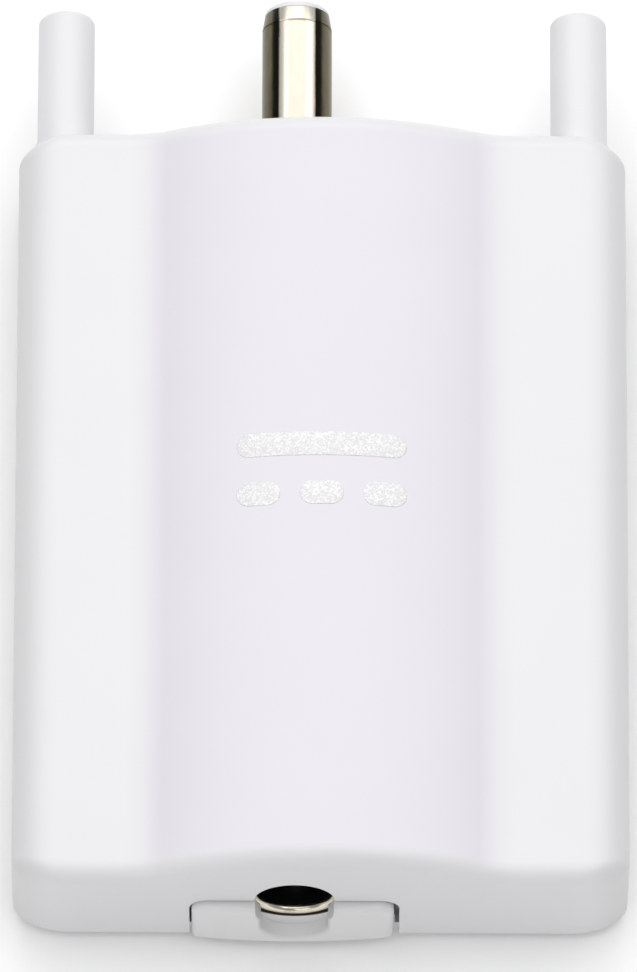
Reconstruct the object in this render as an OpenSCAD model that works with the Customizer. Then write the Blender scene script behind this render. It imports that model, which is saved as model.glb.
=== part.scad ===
// Plug-in direct-current power meter: a slim white case with a barrel plug and
// two guide pins at one end, and a matching barrel jack at the other.
// X runs across the case, Y along it towards the plug, and Z up through the front.
// Lengths are in millimetres, and the case lies on its back at Z = 0.

/* [Case] */
// Width of the case
body_w = 47.6; // [44:0.2:58]
// Length of the case without its plug and pins
body_len = 63.7; // [60:0.1:80]
// Height of the flat side strips above the shell's lower edge
flat_h = 10.7; // [10.4:0.1:13]
// Rise of the crown above the side strips
crown_rise = 3.7; // [3:0.1:5]
// Width of the crown
crown_w = 27; // [24:0.5:32]
// Thickness of the shell's walls
wall = 1.8; // [1.5:0.1:2.1]
// Radius of the upright corners
corner_r = 3.2; // [3:0.1:5]
// Rounding along the long front edges
side_r = 2.4; // [2.2:0.1:4]
// Rounding along the end edges of the front
end_r = 1.5; // [0.8:0.1:2]
// Taper of the end walls, in degrees
end_draft = 1.5; // [0.5:0.5:2]

/* [Rear cover] */
// Height of the cover that shows below the shell
reveal = 1.3; // [1:0.1:2]
// Step from the shell's outline in to the cover's
cover_inset = 0.9; // [0.5:0.1:1.2]
// Thickness of the cover's floor
floor_t = 1.6; // [1.4:0.1:2]
// Height of the locating lip inside the shell
lip_h = 1.7; // [1.2:0.1:2]
// Thickness of the locating lip
lip_t = 1.2; // [0.8:0.1:1.5]
// Clearance between the lip and the shell
lip_gap = 0.15; // [0.1:0.05:0.3]
// Width of the notch under the jack
notch_w = 16.2; // [14:0.1:18]
// Radius of the notch's upper corners
notch_r = 1.5; // [0.5:0.1:2.5]
// Gap around the tongue in the notch
tongue_gap = 0.3; // [0.2:0.05:0.5]
// How far the tongue stands out of the end wall
tongue_out = 0.9; // [0.5:0.1:1.2]
// Bow of the tongue's face across its width
tongue_bow = 0.4; // [0.2:0.1:0.5]
// Rounding of the tongue's upper edge
tongue_edge_r = 0.5; // [0.2:0.1:0.8]

/* [Connectors] */
// Offset of the plug and the jack from the case's middle
connector_x = -2; // [-4:0.1:0]
// Height of their axis above the shell's lower edge
axis_h = 6.35; // [6:0.05:6.6]
// Outer diameter of the plug's sleeve
plug_d = 5.5; // [5:0.1:5.6]
// Length of the plug outside the case
plug_len = 11.8; // [9:0.1:14]
// Length of the plug's tapered nose
nose_len = 1.3; // [0.8:0.1:1.6]
// Diameter of the plug's nose at its tip
nose_d = 5.1; // [4.6:0.05:5.2]
// Length of the insulating ring ahead of the nose
tip_ring = 0.5; // [0.3:0.1:0.8]
// Wall of the plug's sleeve
sleeve_t = 0.7; // [0.6:0.05:0.8]
// Bore of the plug's inner contact
plug_bore_d = 2.1; // [1.9:0.1:2.3]
// Wall of the plug's inner contact
contact_t = 0.45; // [0.3:0.05:0.5]
// Depth of the sleeve's root in the plug's block
sleeve_root = 4; // [3:0.5:5]
// Step down from the sleeve to its root inside the case
root_step = 0.25; // [0.2:0.05:0.3]
// Depth of the plug's bore
plug_bore_len = 10; // [8:0.5:12]
// Clearance around pieces that are set into others
set_gap = 0.02; // [0.01:0.01:0.04]
// Radial clearance around the plug in the end wall
plug_gap = 0.3; // [0.25:0.05:0.4]
// Radial clearance around the jack's nose in the end wall
nose_gap = 0.15; // [0.1:0.05:0.25]
// Bore of the jack
jack_bore_d = 5.7; // [5.6:0.05:5.8]
// Radius of the hole in front of the jack
mouth_r = 3.05; // [3:0.05:3.2]
// Radius at the foot of the groove in the tongue
groove_r = 2.6; // [2.4:0.1:2.8]
// Height of the groove's floor above the back
groove_floor = 2; // [1.8:0.1:3]
// Depth of the jack's face behind the shell's lower edge
jack_set_back = 0.45; // [0.4:0.05:0.6]
// Outer diameter of the jack's nose and rim
rim_d = 7; // [6.8:0.1:7.2]
// Depth of the jack's plated rim
rim_t = 0.5; // [0.3:0.1:0.8]
// Diameter of the jack's centre pin
jack_pin_d = 2; // [1.9:0.05:2.1]
// Depth of the centre pin's tip behind the jack's face
pin_recess = 3; // [2.5:0.1:3.5]
// Step up from the centre pin to its root in the block
pin_root_step = 0.25; // [0.2:0.05:0.3]
// Length of the jack's mouth between its rim and the relief
mouth_len = 2.2; // [1.8:0.1:2.4]
// Relief of the bore behind the jack's mouth
bore_relief = 0.25; // [0.2:0.05:0.3]
// Depth of the jack's bore
jack_bore_len = 10.5; // [10:0.1:11]
// Width of the plug's and the jack's blocks
block_w = 9; // [8.6:0.1:10]
// Height of the blocks above the connectors' axis
block_over = 3.7; // [3.5:0.1:4]
// Length of the jack's block
jack_block_len = 11.5; // [11:0.1:13]
// Length of the plug's block
plug_block_len = 10; // [8:0.1:12]
// Clearance between the blocks and the end walls
block_gap = 0.1; // [0.05:0.05:0.3]

/* [Jack contacts] */
// Thickness of the contacts' strip
strip_t = 0.3; // [0.2:0.05:0.4]
// Width of the sleeve spring
spring_w = 4; // [3.6:0.1:4.2]
// Length of the sleeve spring
spring_len = 7.6; // [7:0.1:8]
// Distance of the spring's inner face from the jack's axis
spring_x = 3.3; // [3.25:0.05:3.4]
// Reach of the spring's contact bump into the bore
bump_in = 0.45; // [0.3:0.05:0.5]
// Height of the contact bump
bump_w = 1.6; // [1:0.1:1.8]
// Distance of the bump from the spring's tip
bump_from_tip = 2.6; // [2:0.1:3]
// Clearance around the spring's root and its switch contact
spring_gap = 0.12; // [0.1:0.01:0.2]
// Depth of the side pocket's floor from the jack's axis
pocket_x = 2.6; // [2.5:0.05:2.7]
// Width of the solder feet
foot_w = 2.4; // [1.6:0.1:3]
// Length of the solder feet
foot_len = 1.4; // [1:0.1:2]

/* [Guide pins] */
// Diameter of the guide pins
pin_d = 4.45; // [4:0.05:4.8]
// Length of the guide pins outside the case
pin_len = 11.1; // [8:0.1:13]
// Distance of the guide pins' axes from the case's sides
pin_inset = 3.6; // [3.5:0.1:6]
// Rounding of the guide pins' tips
pin_tip_r = 1; // [0.5:0.1:1.5]
// Diameter of the flange inside the end wall
flange_d = 5.6; // [5.2:0.1:5.8]
// Thickness of the flange
flange_t = 1.5; // [1:0.1:2]
// Step up from a guide pin to its neck in the end wall
neck_step = 0.2; // [0.15:0.05:0.25]

/* [Screws] */
// Shank diameter of the cover screws
cover_screw_d = 2; // [1.6:0.1:2.4]
// Depth of the cover screws in their bosses
screw_grip = 5.5; // [4:0.1:6]
// Head diameter of the cover screws
head_d = 3.8; // [3.2:0.1:4.2]
// Head height of the cover screws
head_h = 1.2; // [1:0.1:1.3]
// Depth of the cover screws' heads below the cover's back
head_sunk = 0.2; // [0.1:0.05:0.4]
// Diameter of the bosses
boss_d = 5; // [4.6:0.1:5.4]
// Distance of the bosses from the jack's end
boss_from_jack_end = 8; // [7:0.5:10]
// Distance of the bosses from the plug's end
boss_from_plug_end = 9; // [8:0.5:11]
// Shank diameter of the board screws
board_screw_d = 1.6; // [1.4:0.1:1.8]
// Head diameter of the board screws
board_head_d = 3.4; // [3:0.1:3.8]
// Head height of the board screws
board_head_h = 1.1; // [0.8:0.1:1.4]
// Depth of the board screws in their posts
board_screw_grip = 1.6; // [1.2:0.1:1.8]
// Radial clearance around screw shanks
shank_gap = 0.05; // [0.03:0.01:0.1]
// Radial clearance around screw heads
head_gap = 0.2; // [0.1:0.05:0.3]
// Width of the screws' cross slots
slot_w = 0.5; // [0.4:0.05:0.7]

/* [Circuit board] */
// Thickness of the board
board_t = 1; // [0.8:0.1:1.2]
// Height of the board's rests above the cover's floor
rest_h = 1; // [0.8:0.1:1.2]
// Width of the rests' ribs
rest_w = 1.2; // [1:0.1:2]
// Diameter of the board screws' posts
post_d = 4; // [3.6:0.1:4.6]
// Gap around the board
board_gap = 0.5; // [0.3:0.1:0.8]
// Distance of the board screws from the board's long edges
board_screw_inset = 2.4; // [2:0.1:3]

/* [Parts on the board] */
// Length, width and height of the current shunt
shunt = [6.4, 3.2, 0.7]; // [0.5:0.1:8]
// Length, width and height of the metering chip's package
meter_package = [5, 6.2, 1.5]; // [1:0.1:7]
// Length, width and height of the regulator's package
regulator_package = [3.9, 4.9, 1.4]; // [1:0.1:6]
// Side and height of the power inductor
inductor = [6.6, 6.6, 3]; // [2:0.1:7]
// Length, width and thickness of the radio board
radio = [10, 15, 0.8]; // [0.6:0.1:17]
// Length, width and height of the radio's shield
shield = [8.8, 9.6, 2]; // [1:0.1:11]
// Length, width and height of the chip antenna
antenna = [7, 2, 1]; // [0.8:0.1:8]
// Thickness of the shield's sheet
shield_t = 0.2; // [0.15:0.05:0.3]
// Length, width and height of the crystal
crystal = [3.2, 2.5, 0.8]; // [0.6:0.1:4]
// Diameter of the input capacitor
can_d = 5; // [4:0.1:5.4]
// Height of the input capacitor
can_h = 5.4; // [4:0.1:5.6]
// Thickness of the input capacitor's base
can_base_t = 0.8; // [0.5:0.1:1]
// Length, width and height of the surge diode
diode = [3.6, 4.4, 2.2]; // [1.5:0.1:5]
// Length, width and height of the resettable fuse
fuse = [3.2, 4.6, 1]; // [0.8:0.1:5]
// Length, width and height of a ceramic capacitor
ceramic = [1.25, 2, 1.1]; // [0.8:0.05:2.5]
// Length, width and height of a chip resistor
resistor = [1.25, 2, 0.5]; // [0.4:0.05:2.5]
// Gap between parts on the board
part_gap = 0.8; // [0.6:0.1:1]

/* [Hidden] */
$fn = 64;
eps = 0.01;

// Levels above the case's back
lip_top = reveal + lip_h;
flat_z = reveal + flat_h;
crown_z = flat_z + crown_rise;
axis_z = reveal + axis_h;
rest_z = floor_t + rest_h;
board_z = rest_z + board_t;
ceiling_z = flat_z - wall;

// Stations along the case
overall_len = tongue_out + body_len + plug_len;
jack_end = tongue_out - overall_len / 2;
plug_end = jack_end + body_len;
jack_face = jack_end + jack_set_back;
jack_block_y = jack_end + wall + block_gap;
plug_block_y = plug_end - wall - block_gap;
plug_tip = plug_end + plug_len;
sleeve_end = plug_tip - tip_ring;
body_y = jack_end + body_len / 2;

// Crown and cavity
crown_r = (pow(crown_w / 2, 2) + pow(crown_rise, 2)) / (2 * crown_rise);
cavity_corner_r = corner_r - wall;
cavity_side_r = side_r - wall;
strip_lean = flat_h * tan(end_draft);

// Connectors
plug_r = plug_d / 2;
root_r = plug_r - root_step;
pin_root_r = jack_pin_d / 2 + pin_root_step;
bore_back = jack_face + jack_bore_len;
relief_y = jack_face + rim_t + mouth_len;
neck_r = pin_d / 2 + neck_step;
pin_x = body_w / 2 - pin_inset;
nose_r = nose_d / 2;
sleeve_bore_r = plug_r - sleeve_t;
contact_r = plug_bore_d / 2 + contact_t;
jack_bore_r = jack_bore_d / 2;
block_h = axis_z + block_over - board_z;
pin_tip = jack_face + pin_recess;
jack_back = jack_block_y + jack_block_len;
spring_root = jack_block_y + jack_block_len - wall / 2 - strip_t - spring_gap;
spring_z = axis_z - spring_w / 2;
pocket_front = spring_root - spring_len - part_gap / 2;
pocket_back = spring_root + spring_gap + strip_t;

// Bosses, lip and board
boss_x = body_w / 2 - wall - boss_d / 2 + lip_gap;
boss_ys = [jack_end + boss_from_jack_end, plug_end - boss_from_plug_end];
head_seat = head_sunk + head_h;
lip_out = wall + lip_gap;
board_inset = lip_out + lip_t + board_gap;
board_w = 2 * (boss_x - boss_d / 2 - board_gap);
board_len = body_len - 2 * board_inset;
board_screw_x = board_w / 2 - board_screw_inset;
right_lane_x = connector_x + block_w / 2 + part_gap;
left_lane_x = connector_x - block_w / 2 - part_gap;
mid_back = jack_back + strip_t + foot_len + part_gap;
mid_front = plug_block_y - plug_block_len - strip_t - foot_len - part_gap;

// Points of an arc about a centre, from one angle to another
function arc(cx, cy, r, from, to, steps = 8) =
    [for (i = [0 : steps]) let (a = from + (to - from) * i / steps) [cx + r * cos(a), cy + r * sin(a)]];

// A cylinder that points along +Y from a station on the case
module rod_y(x, y, z, r, len) {
    translate([x, y, z])
        rotate([-90, 0, 0])
            cylinder(r = r, h = len);
}

// A tube that points along +Y
module tube_y(x, y, z, r, bore_r, len) {
    difference() {
        rod_y(x, y, z, r, len);
        rod_y(x, y - eps, z, bore_r, len + 2 * eps);
    }
}

// A block that stands at a height, centred on a point in plan
module block_on(x, y, z, size) {
    translate([x - size[0] / 2, y - size[1] / 2, z])
        cube(size);
}

// A rectangle in plan with round corners
module round_rect(w, len, r) {
    union() {
        square([w - 2 * r, len], center = true);
        square([w, len - 2 * r], center = true);
        for (sx = [-1, 1])
            for (sy = [-1, 1])
                translate([sx * (w / 2 - r), sy * (len / 2 - r)])
                    circle(r);
    }
}

// The case's outline in plan, drawn in by an inset
module case_plan(inset, r, z, h) {
    translate([0, body_y, z])
        linear_extrude(h)
            round_rect(body_w - 2 * inset, body_len - 2 * inset, r);
}

// A section across the case that runs along its length
module along_case() {
    translate([0, plug_end + eps, 0])
        rotate([90, 0, 0])
            linear_extrude(body_len + 2 * eps)
                children();
}

// Section of the side strips, with its upper corners rounded
module strip_section(half_w, top, r) {
    polygon(concat(
        [[-half_w, reveal], [half_w, reveal]],
        arc(half_w - r, top - r, r, 0, 90),
        arc(r - half_w, top - r, r, 90, 180)));
}

// Side view of the case with tapered ends, up to a given height
module end_profile(top) {
    lean = (top - reveal) * tan(end_draft);
    translate([-body_w / 2, 0, 0])
        rotate([90, 0, 90])
            linear_extrude(body_w)
                polygon(concat(
                    [[jack_end, reveal], [plug_end, reveal]],
                    arc(plug_end - lean - end_r, top - end_r, end_r, 0, 90),
                    arc(jack_end + lean + end_r, top - end_r, end_r, 90, 180)));
}

// Solid outer form of the shell: side strips and the crown over them
module case_form() {
    intersection() {
        along_case() strip_section(body_w / 2, flat_z, side_r);
        case_plan(0, corner_r, reveal, flat_h);
        end_profile(flat_z);
    }
    intersection() {
        crown_barrel(crown_r, jack_end + strip_lean, plug_end - strip_lean, end_r);
        translate([-crown_w / 2, jack_end, flat_z - end_r])
            cube([crown_w, body_len, crown_rise + 2 * end_r]);
    }
}

// Round barrel whose upper part is the crown, with its end edges rounded
module crown_barrel(r, from_y, to_y, edge_r) {
    translate([0, 0, crown_z - crown_r])
        rotate([-90, 0, 0])
            rotate_extrude($fn = 128)
                polygon(concat(
                    [[0, from_y]],
                    arc(r - edge_r, from_y + edge_r, edge_r, -90, 0),
                    arc(r - edge_r, to_y - edge_r, edge_r, 0, 90),
                    [[0, to_y]]));
}

// Space inside the shell's walls
module case_cavity() {
    intersection() {
        along_case() strip_section(body_w / 2 - wall, ceiling_z, cavity_side_r);
        case_plan(wall, cavity_corner_r, reveal, flat_h);
    }
    intersection() {
        crown_barrel(crown_r - wall, jack_end + wall, plug_end - wall, end_r);
        translate([-crown_w / 2, jack_end, ceiling_z - end_r])
            cube([crown_w, body_len, crown_rise + end_r]);
    }
    case_plan(wall, cavity_corner_r, reveal - eps, 2 * eps);
}

// Form of the notch under the jack with round upper corners, drawn in by a gap
module notch_form(gap, from_y, to_y, low) {
    half = notch_w / 2 - gap;
    top = axis_z - gap;
    r = notch_r - gap;
    translate([connector_x, to_y, 0])
        rotate([90, 0, 0])
            linear_extrude(to_y - from_y)
                polygon(concat(
                    [[-half, low], [half, low]],
                    arc(half - r, top - r, r, 0, 90),
                    arc(r - half, top - r, r, 90, 180)));
}

// Round way into the jack: the mouth, then the seat of the jack's nose
module jack_way() {
    rod_y(connector_x, jack_end - tongue_out - eps, axis_z, mouth_r, tongue_out + jack_set_back + 2 * eps);
    rod_y(connector_x, jack_face, axis_z, rim_d / 2 + nose_gap, wall);
}

// Shell that makes the front, the sides and the end walls
module front_shell() {
    color("whitesmoke")
        difference() {
            union() {
                difference() {
                    case_form();
                    case_cavity();
                }
                intersection() {
                    case_form();
                    for (sx = [-1, 1])
                        for (y = boss_ys)
                            translate([sx * boss_x, y, lip_top])
                                cylinder(d = boss_d, h = flat_h);
                }
            }
            for (sx = [-1, 1])
                for (y = boss_ys)
                    translate([sx * boss_x, y, lip_top - eps])
                        cylinder(d = cover_screw_d + 2 * shank_gap, h = screw_grip + part_gap / 2);
            for (sx = [-1, 1]) {
                rod_y(sx * pin_x, plug_end - wall - eps, axis_z, neck_r + set_gap, 2 * wall);
                rod_y(sx * pin_x, plug_end - wall - flange_t - lip_gap, axis_z,
                    flange_d / 2 + lip_gap, flange_t + lip_gap);
            }
            rod_y(connector_x, plug_end - 2 * wall, axis_z, plug_r + plug_gap, 3 * wall);
            notch_form(0, jack_end - eps, jack_end + wall + eps, reveal - eps);
            jack_way();
        }
}

// Groove in the tongue's face that bares the jack's rim, round at its foot
module tongue_groove() {
    foot = groove_floor + groove_r;
    front = jack_end - tongue_out - eps;
    rod_y(connector_x, front, foot, groove_r, jack_face - front);
    translate([connector_x - groove_r, front, foot])
        cube([2 * groove_r, jack_face - front, axis_z - foot]);
}

// Tongue of the cover that fills the notch under the jack
module cover_tongue() {
    half = notch_w / 2 - tongue_gap;
    front = jack_end - tongue_out;
    back = jack_end + lip_out + lip_t;
    top = axis_z - tongue_gap;
    bow_r = (pow(half, 2) + pow(tongue_bow, 2)) / (2 * tongue_bow);
    difference() {
        intersection() {
            notch_form(tongue_gap, front, back, reveal);
            translate([connector_x - half, 0, 0])
                rotate([90, 0, 90])
                    linear_extrude(2 * half)
                        polygon(concat(
                            [[back, reveal], [back, lip_top], [jack_end + wall, lip_top], [jack_end + wall, top]],
                            arc(front + tongue_edge_r, top - tongue_edge_r, tongue_edge_r, 90, 180),
                            [[front, reveal]]));
            translate([connector_x, front + bow_r, 0])
                cylinder(r = bow_r, h = axis_z, $fn = 128);
        }
        jack_way();
        tongue_groove();
    }
}

// Cover that closes the back, carries the board and fills the notch
module rear_cover() {
    color("white")
        difference() {
            union() {
                case_plan(cover_inset, corner_r - cover_inset, 0, reveal);
                case_plan(lip_out, cavity_corner_r, 0, floor_t);
                difference() {
                    case_plan(lip_out, cavity_corner_r, 0, lip_top);
                    case_plan(lip_out + lip_t, cavity_corner_r - lip_t / 2, floor_t, lip_top);
                }
                cover_tongue();
                for (sx = [-1, 1])
                    for (y = boss_ys)
                        intersection() {
                            translate([sx * boss_x, y, 0])
                                cylinder(d = boss_d, h = lip_top);
                            case_plan(lip_out, cavity_corner_r, 0, lip_top);
                        }
                for (sx = [-1, 1])
                    translate([sx * board_screw_x, body_y, 0])
                        cylinder(d = post_d, h = rest_z);
                for (sy = [-1, 1])
                    block_on(0, body_y + sy * (board_len / 2 - 2 * rest_w), floor_t - eps,
                        [board_w / 2, rest_w, rest_h + eps]);
            }
            for (sx = [-1, 1])
                for (y = boss_ys)
                    translate([sx * boss_x, y, -eps]) {
                        cylinder(d = cover_screw_d + 2 * shank_gap, h = lip_top + 2 * eps);
                        cylinder(d = head_d + 2 * head_gap, h = head_seat + eps);
                    }
            for (sx = [-1, 1])
                translate([sx * board_screw_x, body_y, rest_z - board_screw_grip - part_gap / 4])
                    cylinder(d = board_screw_d + 2 * shank_gap, h = rest_z);
        }
}

// A screw that points along +Z, with its head's seat at Z = 0 and a cross slot
module screw(shank_d, shank_len, d, h) {
    difference() {
        union() {
            translate([0, 0, -h])
                cylinder(d = d, h = h);
            translate([0, 0, -eps])
                cylinder(d = shank_d, h = shank_len + eps - shank_d / 2);
            translate([0, 0, shank_len - shank_d / 2])
                cylinder(d1 = shank_d, d2 = shank_d / 3, h = shank_d / 2);
        }
        for (a = [0, 90])
            rotate(a)
                translate([-d / 3, -slot_w / 2, -h - eps])
                    cube([d * 2 / 3, slot_w, h / 2]);
    }
}

// Four screws that hold the cover to the shell
module cover_screws() {
    color("silver")
        for (sx = [-1, 1])
            for (y = boss_ys)
                translate([sx * boss_x, y, head_seat])
                    screw(cover_screw_d, lip_top - head_seat + screw_grip, head_d, head_h);
}

// Two screws that hold the board to the cover
module board_screws() {
    color("silver")
        for (sx = [-1, 1])
            translate([sx * board_screw_x, body_y, board_z])
                mirror([0, 0, 1])
                    screw(board_screw_d, board_t + board_screw_grip, board_head_d, board_head_h);
}

// A guide pin with a round tip, a neck in the end wall and a flange behind it
module guide_pin(x) {
    r = pin_d / 2;
    color("white")
        translate([x, plug_end, axis_z])
            rotate([-90, 0, 0])
                rotate_extrude()
                    polygon(concat(
                        [[0, -wall - flange_t], [flange_d / 2, -wall - flange_t], [flange_d / 2, -wall],
                        [neck_r, -wall], [neck_r, 0], [r, 0]],
                        arc(r - pin_tip_r, pin_len - pin_tip_r, pin_tip_r, 0, 90),
                        [[0, pin_len]]));
}

module guide_pin_left() {
    guide_pin(-pin_x);
}

module guide_pin_right() {
    guide_pin(pin_x);
}

// Board that carries the connectors and the metering circuit
module circuit_board() {
    color("darkgreen")
        difference() {
            block_on(0, body_y, rest_z, [board_w, board_len, board_t]);
            for (sx = [-1, 1])
                translate([sx * board_screw_x, body_y, rest_z - eps])
                    cylinder(d = board_screw_d + 2 * head_gap, h = board_t + 2 * eps);
        }
}

// Moulded block that holds the plug on the board
module plug_body() {
    color("dimgray")
        difference() {
            translate([connector_x - block_w / 2, plug_block_y - plug_block_len, board_z])
                cube([block_w, plug_block_len, block_h]);
            rod_y(connector_x, plug_block_y - sleeve_root, axis_z, root_r + set_gap, wall + sleeve_root);
            rod_y(connector_x, plug_block_y - plug_block_len - eps, axis_z, contact_r + set_gap, plug_block_len);
            translate([connector_x - foot_w / 2 - set_gap, plug_block_y - sleeve_root / 2 - foot_len / 2, board_z - eps])
                cube([foot_w + 2 * set_gap, foot_len, axis_z - board_z]);
        }
}

// Plated sleeve of the plug, with a tapered nose
module plug_sleeve() {
    color("silver")
        translate([connector_x, 0, axis_z])
            rotate([-90, 0, 0])
                rotate_extrude()
                    polygon([
                        [sleeve_bore_r, plug_block_y - sleeve_root], [root_r, plug_block_y - sleeve_root],
                        [root_r, plug_end], [plug_r, plug_end],
                        [plug_r, sleeve_end - nose_len], [nose_r, sleeve_end], [sleeve_bore_r, sleeve_end]]);
}

// Insulating tube inside the sleeve, with a ring that caps the nose
module plug_insulator() {
    r = sleeve_bore_r - set_gap;
    bore = contact_r + set_gap;
    color("white")
        translate([connector_x, 0, axis_z])
            rotate([-90, 0, 0])
                rotate_extrude()
                    polygon(concat(
                        [[bore, plug_block_y - sleeve_root], [r, plug_block_y - sleeve_root],
                        [r, sleeve_end], [nose_r, sleeve_end]],
                        arc(nose_r - tip_ring / 2, plug_tip - tip_ring / 2, tip_ring / 2, 0, 90, 4),
                        [[bore, plug_tip]]));
}

// Inner contact of the plug, which takes the jack's centre pin in its bore
module plug_inner_contact() {
    back = plug_block_y - plug_block_len;
    color("gold")
        difference() {
            rod_y(connector_x, back, axis_z, contact_r, sleeve_end - back);
            rod_y(connector_x, sleeve_end - plug_bore_len, axis_z, plug_bore_d / 2, plug_bore_len + eps);
        }
}

// Solder foot of the sleeve, under the plug's block
module plug_sleeve_tail() {
    color("silver")
        difference() {
            block_on(connector_x, plug_block_y - sleeve_root / 2, board_z,
                [foot_w, foot_len - 2 * set_gap, axis_z - board_z - root_r + strip_t]);
            rod_y(connector_x, plug_block_y - sleeve_root, axis_z, root_r + set_gap, sleeve_root);
        }
}

// An upright strip with a solder foot, facing along Y
module strip_tail(x, y, top, dir) {
    translate([x - foot_w / 2, min(y, y + dir * strip_t), board_z])
        cube([foot_w, strip_t, top - board_z]);
    translate([x - foot_w / 2, min(y, y + dir * (strip_t + foot_len)), board_z])
        cube([foot_w, strip_t + foot_len, strip_t]);
}

// Solder foot of the plug's inner contact, at the back of its block
module plug_contact_tail() {
    color("gold")
        strip_tail(connector_x, plug_block_y - plug_block_len, axis_z + contact_r, -1);
}

// Moulded block of the jack, with its bore, nose and spring pocket
module jack_body() {
    color("black")
        difference() {
            union() {
                translate([connector_x - block_w / 2, jack_block_y, board_z])
                    cube([block_w, jack_block_len, block_h]);
                rod_y(connector_x, jack_face + rim_t, axis_z, rim_d / 2, wall);
            }
            rod_y(connector_x, jack_face, axis_z, jack_bore_r, jack_bore_len);
            rod_y(connector_x, relief_y, axis_z, jack_bore_r + bore_relief, bore_back - relief_y);
            rod_y(connector_x, bore_back - eps, axis_z, pin_root_r + set_gap, jack_block_len);
            translate([connector_x + pocket_x, pocket_front, board_z + strip_t])
                cube([block_w, pocket_back - pocket_front, spring_z + spring_w + spring_gap - board_z - strip_t]);
            translate([connector_x + pocket_x, pocket_front, board_z - eps])
                cube([block_w, pocket_back - pocket_front, strip_t + 2 * eps]);
        }
}

// Plated rim at the jack's mouth
module jack_rim() {
    color("silver")
        tube_y(connector_x, jack_face, axis_z, rim_d / 2, jack_bore_r, rim_t);
}

// Centre pin of the jack, with a round tip
module jack_centre_pin() {
    r = jack_pin_d / 2;
    color("silver")
        translate([connector_x, 0, axis_z])
            rotate([-90, 0, 0])
                rotate_extrude()
                    polygon(concat(
                        [[0, pin_tip]],
                        arc(r / 2, pin_tip + r / 2, r / 2, -90, 0, 6),
                        [[r, bore_back], [pin_root_r, bore_back], [pin_root_r, jack_back], [0, jack_back]]));
}

// Leaf spring that presses on the plug's sleeve and swings out at its root
module jack_sleeve_spring() {
    tip = spring_root - spring_len;
    bump_y = tip + bump_from_tip;
    bump_x = jack_bore_r - bump_in;
    rise = spring_x - bump_x;
    color("gold") {
        translate([connector_x + spring_x, tip, spring_z])
            cube([strip_t, spring_len, spring_w]);
        translate([connector_x, 0, axis_z - bump_w / 2])
            linear_extrude(bump_w)
                polygon([
                    [spring_x + eps, bump_y - 2 * rise], [bump_x, bump_y],
                    [bump_x, bump_y + strip_t], [spring_x + eps, bump_y + 2 * rise]]);
    }
}

// Fixed strip that holds the spring's root and ends in a solder foot
module jack_spring_tail() {
    color("gold")
        translate([connector_x + spring_x - strip_t, spring_root + spring_gap, board_z])
            cube([foot_len, strip_t, spring_z + spring_w - board_z]);
}

// Fixed strip that the spring rests near while no plug is in
module jack_switch_contact() {
    color("gold")
        translate([connector_x + spring_x - spring_gap - strip_t, spring_root - spring_len, board_z])
            cube([strip_t, foot_len, axis_z - bump_w / 2 - spring_gap - board_z]);
}

// Solder foot of the centre pin, at the back of the jack
module jack_pin_tail() {
    color("silver")
        strip_tail(connector_x, jack_back, axis_z + jack_pin_d / 2, 1);
}

// Two-ended chip part: a body with a plated cap on each end
module chip_part(x, y, z, size) {
    cap = size[1] / 5;
    block_on(x, y, z, [size[0], size[1] - 2 * cap, size[2] * 0.9]);
    for (s = [-1, 1])
        block_on(x, y + s * (size[1] - cap) / 2, z, [size[0], cap + eps, size[2]]);
}

// Packaged chip with legs along two sides
module legged_chip(x, y, size, legs) {
    body_x = size[0] * 0.7;
    pitch = size[1] / legs;
    block_on(x, y, board_z + size[2] * 0.1, [body_x, size[1], size[2] * 0.9]);
    for (i = [0 : legs - 1])
        block_on(x, y + (i - (legs - 1) / 2) * pitch, board_z, [size[0], pitch / 2, size[2] * 0.3]);
}

// Low-ohm shunt in the line from the jack to the plug
module shunt_resistor() {
    color("dimgray")
        chip_part(connector_x, mid_back + shunt[0] / 2, board_z, [shunt[1], shunt[0], shunt[2]]);
}

// Chip that measures voltage and current
module meter_chip() {
    color("black")
        legged_chip(right_lane_x + meter_package[0] / 2, mid_back, meter_package, 5);
}

// Chip that makes the supply for the circuit
module regulator_chip() {
    color("black")
        legged_chip(left_lane_x, mid_front - regulator_package[1] / 2, regulator_package, 4);
}

// Shielded inductor of the supply
module power_inductor() {
    color("gray")
        translate([left_lane_x - inductor[0] / 4, mid_front - regulator_package[1] - part_gap - inductor[1] / 2, board_z]) {
            block_on(0, 0, 0, [inductor[0], inductor[1], inductor[2] / 5]);
            cylinder(d = inductor[0], h = inductor[2]);
        }
}

// Place of the radio board's middle
radio_x = right_lane_x + radio[0] / 2 - part_gap;
radio_y = mid_front - radio[1] / 2;

// Small board of the radio that reports the readings
module radio_board() {
    color("darkgreen")
        block_on(radio_x, radio_y, board_z, radio);
}

// Shield over the radio's circuit
module radio_shield() {
    color("silver")
        translate([radio_x, radio_y - (radio[1] - shield[1]) / 2 + part_gap, board_z + radio[2]])
            difference() {
                block_on(0, 0, 0, shield);
                block_on(0, 0, -eps, [shield[0] - 2 * shield_t, shield[1] - 2 * shield_t, shield[2] - shield_t]);
            }
}

// Ceramic antenna at the radio board's free end
module chip_antenna() {
    color("white")
        block_on(radio_x, radio_y + radio[1] / 2 - antenna[1] / 2 - part_gap / 2, board_z + radio[2], antenna);
}

// Crystal of the metering chip
module clock_crystal() {
    color("silver")
        block_on(right_lane_x + meter_package[0] / 2, mid_back - meter_package[1] / 2 - part_gap - crystal[1] / 2,
            board_z, crystal);
}

// Place of the input capacitor's middle
can_x = left_lane_x - can_d / 2;
can_y = jack_back + can_d / 2;

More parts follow.
